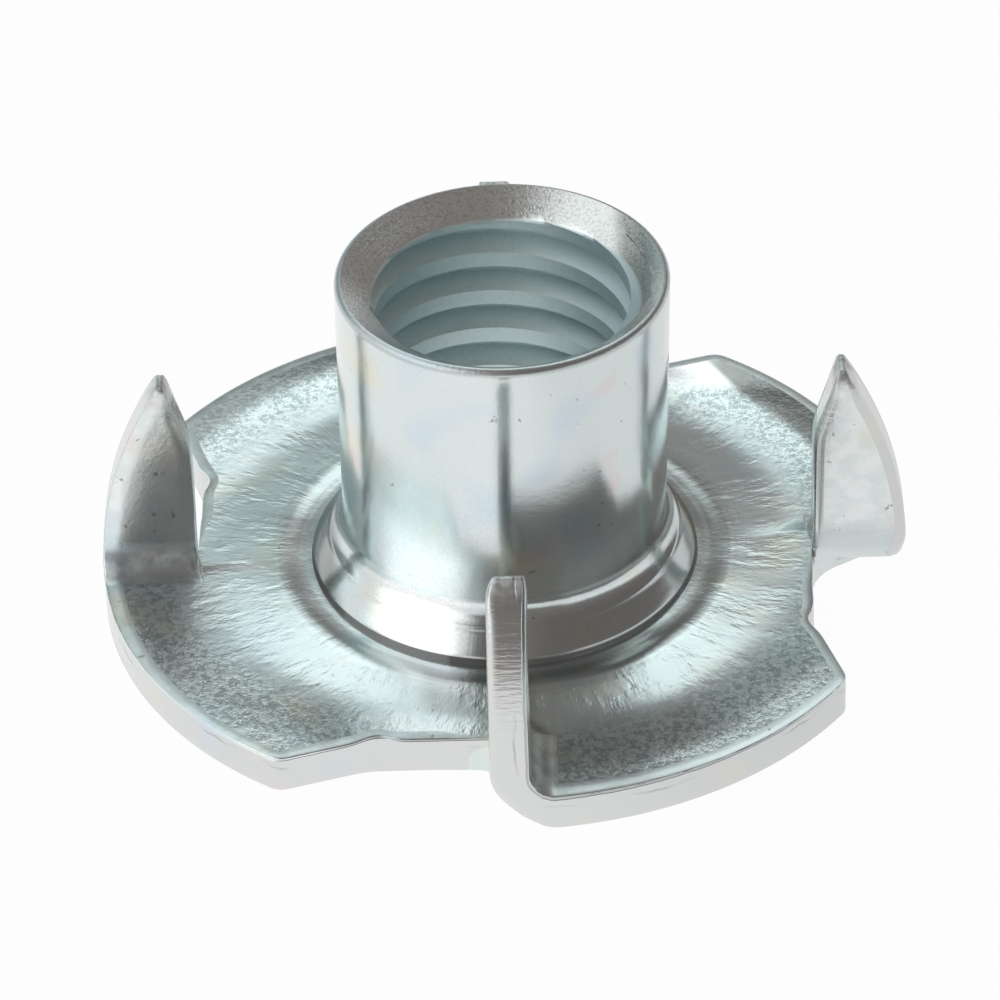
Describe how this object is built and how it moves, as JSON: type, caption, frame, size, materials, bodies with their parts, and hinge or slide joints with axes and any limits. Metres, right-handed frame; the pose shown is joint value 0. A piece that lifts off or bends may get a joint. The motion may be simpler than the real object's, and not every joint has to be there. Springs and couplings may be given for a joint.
{
  "type": "tee nut",
  "caption": "Pronged tee nut pressed from sheet steel: a flanged, internally threaded barrel whose lanced prongs bite into timber and stop it turning.",
  "frame": {"origin": "centre of the flange's underside, on the barrel's axis", "axes": "+Z along the barrel from the flange to the barrel's mouth; +X through the middle of one prong's plane, so that the prongs stand at 0, 90, 180 and 270 degrees about +Z"},
  "size_m": [0.022, 0.022, 0.0102],
  "materials": {
    "zinc_plated_steel": "bright zinc plating on pressed sheet steel, mirror-like with fine forming marks and faint yellow and pink tints"
  },
  "bodies": {
    "root": {"tee_nut": "zinc_plated_steel"}
  },
  "joints": []
}
